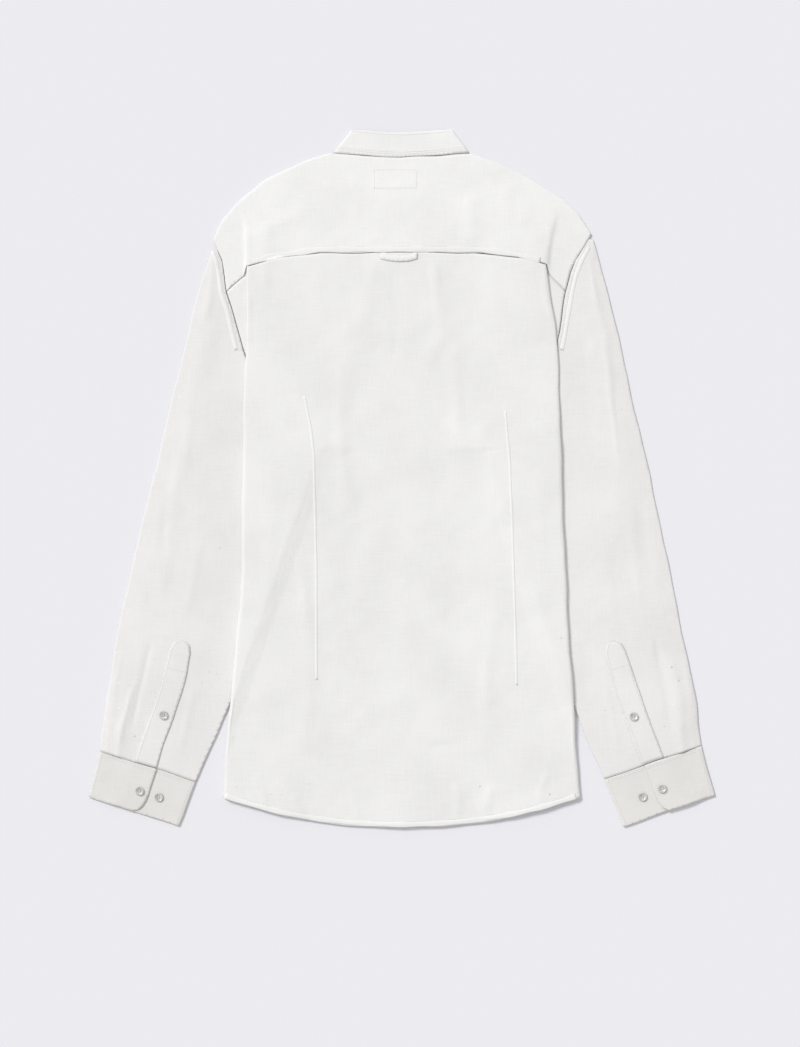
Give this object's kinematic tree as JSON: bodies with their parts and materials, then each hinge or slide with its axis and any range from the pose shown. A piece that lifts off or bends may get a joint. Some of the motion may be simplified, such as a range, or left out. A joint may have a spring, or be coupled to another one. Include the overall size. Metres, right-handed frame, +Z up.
{
  "type": "linen shirt",
  "caption": "Long-sleeved linen shirt with a band collar, laid flat with its back up, sleeves swung down beside the body.",
  "frame": {"origin": "on the surface the shirt lies on, at the middle of its outline", "axes": "+Z up off the surface, towards the shirt's back; +Y from the hem towards the collar; +X to the right as seen from above"},
  "size_m": [0.7198, 0.8028, 0.0088],
  "materials": {
    "linen": "matt off-white plain-weave linen",
    "label": "matt woven, blank",
    "buttons": "pearly, glossy"
  },
  "bodies": {
    "root": {"yoke": "linen", "back_panel": "linen", "front_left": "linen", "front_right": "linen", "front_placket": "linen", "collar_band": "linen", "locker_loop": "linen", "neck_label": "label", "sleeve_left": "linen", "sleeve_right": "linen", "cuff_left": "linen", "cuff_right": "linen", "sleeve_placket_left": "linen", "sleeve_placket_right": "linen", "button_sleeve_left": "buttons", "button_cuff_left_1": "buttons", "button_cuff_left_2": "buttons", "button_sleeve_right": "buttons", "button_cuff_right_1": "buttons", "button_cuff_right_2": "buttons", "button_front_1": "buttons", "button_front_2": "buttons", "button_front_3": "buttons", "button_front_4": "buttons", "button_front_5": "buttons", "button_front_6": "buttons", "button_front_7": "buttons", "button_collar": "buttons"}
  },
  "joints": []
}
